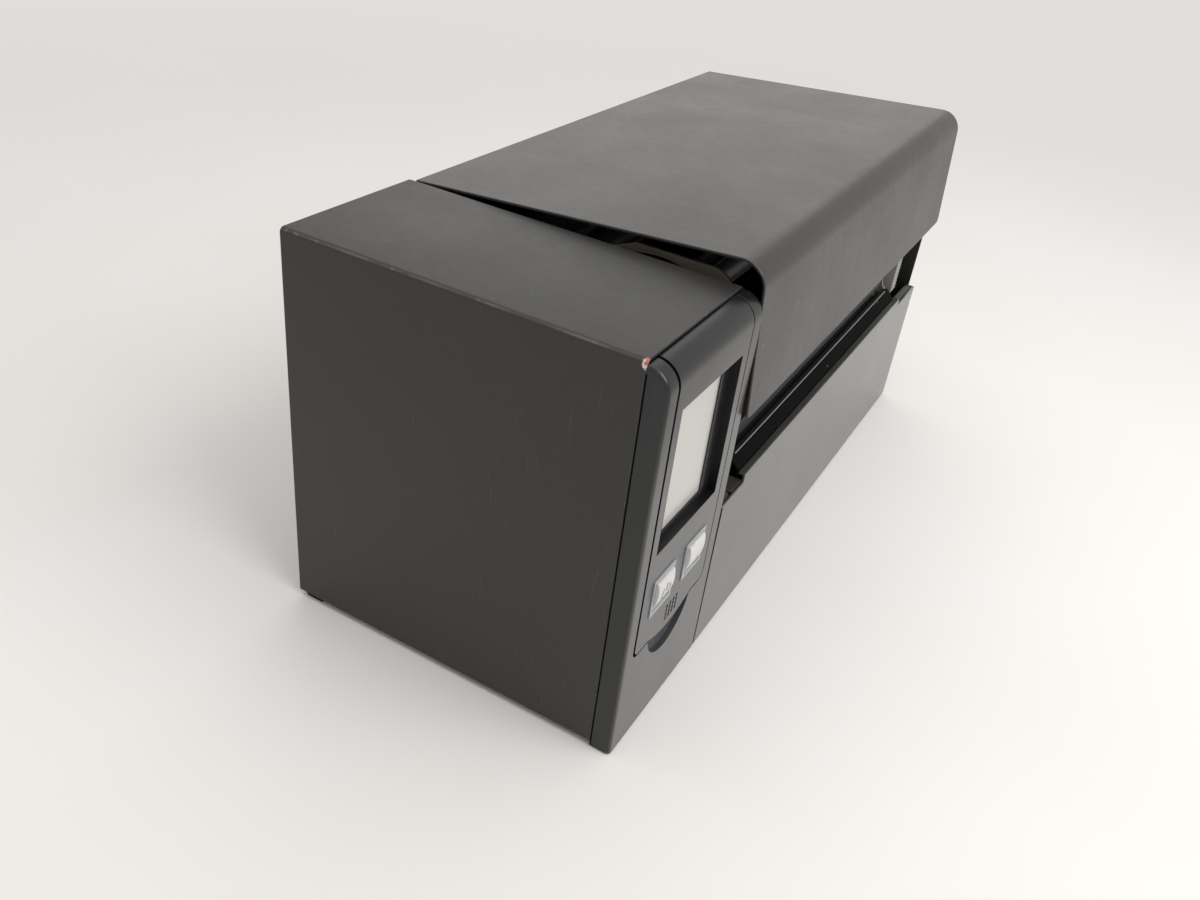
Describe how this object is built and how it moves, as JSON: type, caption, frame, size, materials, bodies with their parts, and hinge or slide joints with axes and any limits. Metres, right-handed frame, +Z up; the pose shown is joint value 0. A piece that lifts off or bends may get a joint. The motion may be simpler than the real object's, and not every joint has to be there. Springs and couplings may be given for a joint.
{
  "type": "wide label printer",
  "caption": "Wide desktop thermal-transfer label printer with a tall control tower, tilting display panel, hinged sheet-metal media cover and front label exit.",
  "frame": {"origin": "middle of the whole printer's box, on the floor under the feet", "axes": "+X along the printer's width towards the right wall, +Y towards the rear panels, +Z up"},
  "size_m": [0.446, 0.1974, 0.22],
  "materials": {
    "black_sheet": "satin fine-textured black powder coat",
    "black_plastic": "fine-textured charcoal moulding",
    "zinc_steel": "zinc plated sheet",
    "bright_steel": "ground steel",
    "rubber": "matt rubber",
    "gear_plastic": "natural acetal",
    "aluminium": "satin anodised",
    "lever_plastic": "light grey moulding",
    "glass_black": "gloss black mask",
    "screen": "unlit display behind a clear film",
    "key_ring": "smoky clear moulding",
    "key_cap": "silver-white lacquer",
    "circuit_board": "green solder mask",
    "brass": "sintered bearing bronze",
    "motor_case": "black stamped motor case",
    "socket_plastic": "black connector moulding",
    "socket_metal": "tinned shield"
  },
  "bodies": {
    "frame": {"base_pan": "black_sheet", "rubber_feet": "rubber", "electronics_cover": "black_sheet", "chassis_wall": "zinc_steel", "tower_rear_panel": "black_sheet", "bay_rear_panel": "black_sheet", "rear_panel_screws": "bright_steel", "right_wall": "black_sheet", "front_cover": "black_sheet", "exit_plate": "black_sheet", "tear_bar": "bright_steel", "end_blocks": "black_plastic", "control_panel": "black_plastic", "hinge_fixed_leaves": "black_sheet", "hinge_pins": "bright_steel", "left_frame_plate": "zinc_steel", "right_frame_plate": "zinc_steel", "cross_bars": "bright_steel", "media_guide_plate": "zinc_steel", "platen_bushings": "brass", "idler_post": "bright_steel", "stepper_motor": "motor_case", "ribbon_bushings": "brass", "ribbon_motors": "motor_case", "roll_rail": "bright_steel", "main_board": "circuit_board", "board_standoffs": "bright_steel", "power_supply": "zinc_steel", "inlet_socket": "socket_plastic", "power_switch_body": "socket_plastic", "usb_socket": "socket_metal", "network_socket": "socket_metal"},
    "lid": {"media_cover": "black_sheet", "hinge_moving_leaves": "black_sheet"},
    "display": {"display_panel": "black_plastic", "display_frame": "glass_black", "display_screen": "screen", "key_board": "circuit_board", "button_surrounds": "key_ring", "display_pivot_pins": "bright_steel"},
    "power_key": {"power_button": "key_cap"},
    "feed_key": {"feed_button": "key_cap"},
    "platen": {"platen_shaft": "bright_steel", "platen_roller": "rubber", "platen_gear": "gear_plastic"},
    "idler": {"idler_gear": "gear_plastic"},
    "motor_rotor": {"motor_shaft": "bright_steel", "motor_pinion": "gear_plastic"},
    "head": {"head_carriage": "zinc_steel", "print_head": "aluminium"},
    "lever": {"head_lever": "lever_plastic", "head_pivot_shaft": "bright_steel"},
    "takeup": {"ribbon_takeup_spindle": "aluminium"},
    "supply": {"ribbon_supply_spindle": "aluminium"},
    "left_holder": {"roll_holder_left": "black_plastic"},
    "right_holder": {"roll_holder_right": "black_plastic"},
    "rocker": {"power_rocker": "socket_plastic"}
  },
  "joints": [
    {"name": "cover_hinge", "type": "hinge", "parent": "frame", "child": "lid", "pos_m": [0, 0.0947, 0.2035], "axis": [-1, 0, 0], "range_deg": [-3.9, 90]},
    {"name": "display_tilt", "type": "hinge", "parent": "frame", "child": "display", "pos_m": [-0.177, -0.0848, 0.1961], "axis": [-1, 0, 0], "range_deg": [0, 28]},
    {"name": "power_press", "type": "slide", "parent": "display", "child": "power_key", "axis": [0, 1, 0], "range_m": [0, 0.0012], "stiffness_N_per_m": 1500},
    {"name": "feed_press", "type": "slide", "parent": "display", "child": "feed_key", "axis": [0, 1, 0], "range_m": [0, 0.0012], "stiffness_N_per_m": 1500},
    {"name": "platen_spin", "type": "hinge", "parent": "frame", "child": "platen", "pos_m": [0, -0.0758, 0.094], "axis": [1, 0, 0], "continuous": true},
    {"name": "idler_spin", "type": "hinge", "parent": "frame", "child": "idler", "pos_m": [-0.128, -0.04761, 0.08374], "axis": [1, 0, 0], "continuous": true},
    {"name": "motor_spin", "type": "hinge", "parent": "frame", "child": "motor_rotor", "pos_m": [-0.128, -0.02846, 0.06767], "axis": [1, 0, 0], "continuous": true},
    {"name": "lever_swing", "type": "hinge", "parent": "frame", "child": "lever", "pos_m": [0.184, -0.0378, 0.122], "axis": [-1, 0, 0], "range_deg": [0, 60]},
    {"name": "head_lift", "type": "hinge", "parent": "frame", "child": "head", "pos_m": [0, -0.0378, 0.122], "axis": [-1, 0, 0], "range_deg": [0, 15]},
    {"name": "takeup_spin", "type": "hinge", "parent": "frame", "child": "takeup", "pos_m": [0, -0.0238, 0.158], "axis": [1, 0, 0], "continuous": true},
    {"name": "supply_spin", "type": "hinge", "parent": "frame", "child": "supply", "pos_m": [0, 0.0462, 0.158], "axis": [1, 0, 0], "continuous": true},
    {"name": "left_holder_slide", "type": "slide", "parent": "frame", "child": "left_holder", "axis": [1, 0, 0], "range_m": [0, 0.08]},
    {"name": "right_holder_slide", "type": "slide", "parent": "frame", "child": "right_holder", "axis": [1, 0, 0], "range_m": [-0.08, 0]},
    {"name": "rocker_tilt", "type": "hinge", "parent": "frame", "child": "rocker", "pos_m": [-0.172, 0.0937, 0.0345], "axis": [1, 0, 0], "range_deg": [0, 8]}
  ],
  "couplings": [
    {"joint": "idler_spin", "follows": "platen_spin", "ratio": -0.66667},
    {"joint": "motor_spin", "follows": "platen_spin", "ratio": 1.7143},
    {"joint": "head_lift", "follows": "lever_swing", "ratio": 0.25},
    {"joint": "right_holder_slide", "follows": "left_holder_slide", "ratio": -1}
  ]
}
